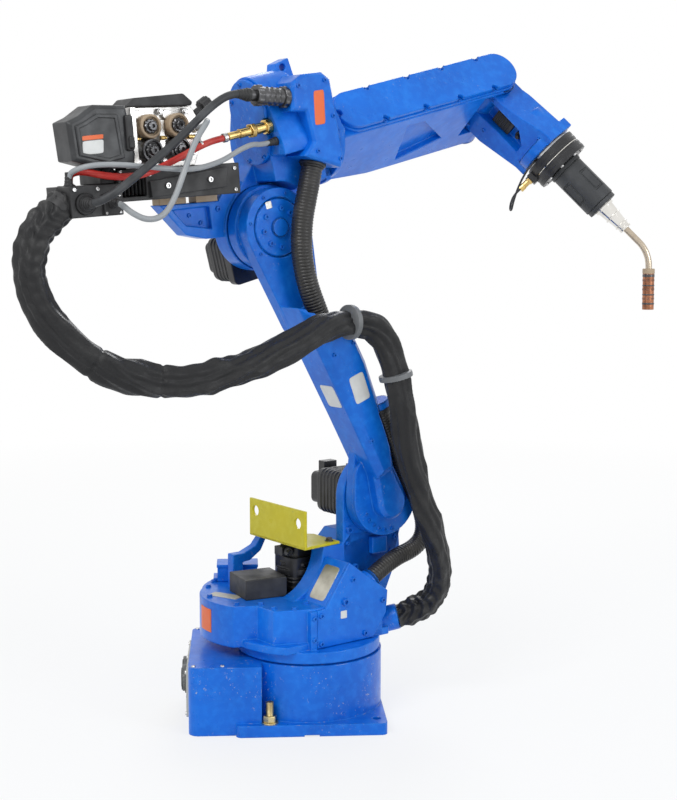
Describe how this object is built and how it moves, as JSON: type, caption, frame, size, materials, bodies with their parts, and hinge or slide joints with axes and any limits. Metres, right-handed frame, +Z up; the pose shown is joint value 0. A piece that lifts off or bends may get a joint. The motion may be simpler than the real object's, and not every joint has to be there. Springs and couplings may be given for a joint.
{
  "type": "six-axis arc welding robot arm",
  "caption": "Six-axis industrial robot arm with wire feeder, dress pack and gooseneck arc-welding torch on a bolt-down base.",
  "frame": {"origin": "swing axis where it meets the floor under the base", "axes": "+Z up along the swing axis, -X towards the connector box of the base"},
  "size_m": [1.2686, 0.7833, 1.3871],
  "materials": {
    "blue_paint": "saturated robot blue enamel, semi-gloss, chipped at the edges",
    "black_plastic": "black moulded plastic and blackened metal",
    "bare_aluminium": "machined plate",
    "cream_panel": "cream connector panel",
    "grey_connector": "grey connector shells",
    "motor_grey": "black servo motor",
    "yellow_paint": "yellow painted steel",
    "torch_grey": "dark grey torch housing",
    "polished_metal": "polished nickel",
    "steel_flange": "turned steel",
    "brass_neck": "nickel-brass neck, dulled",
    "copper": "used copper nozzle"
  },
  "bodies": {
    "base": {"base_casting": "blue_paint", "rear_connector_panel": "cream_panel", "rear_connectors": "grey_connector"},
    "upper_arm": {"elbow_motor": "motor_grey", "feeder_cover": "black_plastic", "feeder_deck": "black_plastic", "feeder_plate": "bare_aluminium", "housing_rear_cover": "blue_paint", "junction_box": "blue_paint", "upper_arm_housing": "blue_paint"},
    "forearm": {"forearm_casting": "blue_paint", "forearm_cover": "blue_paint"},
    "turret": {"hose_lug": "blue_paint", "lifting_bracket": "yellow_paint", "shoulder_motor": "motor_grey", "stop_block": "black_plastic", "swing_motor": "black_plastic", "turret_cable_box": "blue_paint", "turret_casting": "blue_paint", "turret_side_cover": "blue_paint"},
    "lower_arm": {"lower_arm_casting": "blue_paint"},
    "tool": {"nozzle": "copper", "shock_sensor": "black_plastic", "tool_flange": "steel_flange", "torch_body": "torch_grey", "torch_cone": "polished_metal", "torch_neck": "brass_neck"},
    "wrist": {"wrist_casting": "blue_paint"}
  },
  "joints": [
    {"name": "swing", "type": "hinge", "parent": "base", "child": "turret", "pos_m": [0, 0, 0], "axis": [0, 0, 1], "range_deg": [-204, 136]},
    {"name": "shoulder", "type": "hinge", "parent": "turret", "child": "lower_arm", "pos_m": [0.1285, 0.08668, 0.45], "axis": [-0.5592, 0.829, 0], "range_deg": [-36, 90]},
    {"name": "elbow", "type": "hinge", "parent": "lower_arm", "child": "upper_arm", "pos_m": [-0.07854, -0.05298, 1.01092], "axis": [0.5592, -0.829, 0], "range_deg": [-55, 70]},
    {"name": "roll", "type": "hinge", "parent": "upper_arm", "child": "forearm", "pos_m": [-0.10926, -0.07369, 1.15627], "axis": [-0.8034, -0.5419, -0.247], "range_deg": [-185, 115]},
    {"name": "bend", "type": "hinge", "parent": "forearm", "child": "wrist", "pos_m": [0.40489, 0.2731, 1.31435], "axis": [-0.3406, 0.7583, -0.5558], "range_deg": [-165, 15]},
    {"name": "tool_turn", "type": "hinge", "parent": "wrist", "child": "tool", "pos_m": [0.54084, 0.23114, 1.17379], "axis": [0.6798, -0.2098, -0.7028], "range_deg": [-171.3, 248.7]}
  ]
}
